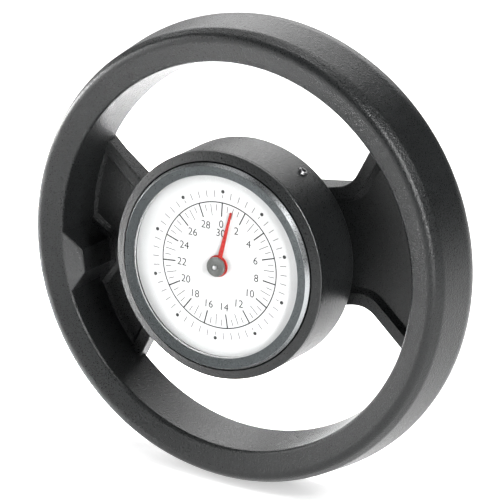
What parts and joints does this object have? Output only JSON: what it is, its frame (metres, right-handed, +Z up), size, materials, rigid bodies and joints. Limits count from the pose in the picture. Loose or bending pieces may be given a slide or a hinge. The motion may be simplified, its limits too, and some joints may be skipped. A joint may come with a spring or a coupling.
{
  "type": "control handwheel with position indicator",
  "caption": "Two-spoke moulded handwheel whose hub holds a gravity position indicator: an upright weighted dial and a geared red pointer behind a clear window.",
  "frame": {"origin": "centre of the hub's rear face, on the axis of the shaft that carries the wheel", "axes": "the dial faces -Y and the shaft leaves the hub along +Y; +Z is up; +X is to the right as the dial is read"},
  "size_m": [0.1998, 0.0545, 0.1998],
  "materials": {
    "black_moulding": "fine grained satin black moulding",
    "case_black": "matt black moulding",
    "bezel_grey": "satin dark grey ring",
    "clear_window": "clear polished window",
    "dial_white": "satin white with black scales",
    "pointer_red": "satin red",
    "cap_grey": "satin dark grey",
    "bright_steel": "machined steel",
    "screw_black": "blackened steel",
    "brass": "machined brass",
    "aluminium": "plain sheet",
    "seal_rubber": "moulded ring"
  },
  "bodies": {
    "handwheel": {"handwheel_body": "black_moulding", "shaft_bush": "bright_steel", "shaft_grub_screw": "screw_black", "case_grub_screw_upper": "screw_black", "case_grub_screw_lower": "screw_black", "indicator_case": "case_black", "bezel_ring": "bezel_grey", "window": "clear_window", "window_seal": "seal_rubber", "axle": "bright_steel", "axle_collar": "brass", "sun_pinion": "brass"},
    "pendulum": {"dial": "dial_white", "front_plate": "aluminium", "rear_plate": "aluminium", "front_bush": "brass", "rear_bush": "brass", "pillar_top": "brass", "pillar_right": "brass", "pillar_left": "brass", "plate_screw_top": "bright_steel", "plate_screw_right": "bright_steel", "plate_screw_left": "bright_steel", "pendulum_weight": "brass", "weight_screw_right": "bright_steel", "weight_screw_left": "bright_steel"},
    "idler": {"idler_wheel": "brass", "idler_pinion": "bright_steel", "idler_arbor": "bright_steel"},
    "pointer": {"pointer_wheel": "brass", "pointer_pipe": "bright_steel", "pointer": "pointer_red", "pointer_cap": "cap_grey", "cap_pin": "bright_steel"}
  },
  "joints": [
    {"name": "pendulum_swing", "type": "hinge", "parent": "handwheel", "child": "pendulum", "pos_m": [0, -0.04, 0], "axis": [0, 1, 0], "continuous": true},
    {"name": "idler_turn", "type": "hinge", "parent": "pendulum", "child": "idler", "pos_m": [0, -0.0427, -0.0168], "axis": [0, 1, 0], "continuous": true},
    {"name": "pointer_turn", "type": "hinge", "parent": "pendulum", "child": "pointer", "pos_m": [0, -0.0465, 0], "axis": [0, 1, 0], "continuous": true}
  ],
  "couplings": [
    {"joint": "idler_turn", "follows": "pendulum_swing", "ratio": 0.2},
    {"joint": "pointer_turn", "follows": "pendulum_swing", "ratio": -0.033333}
  ]
}
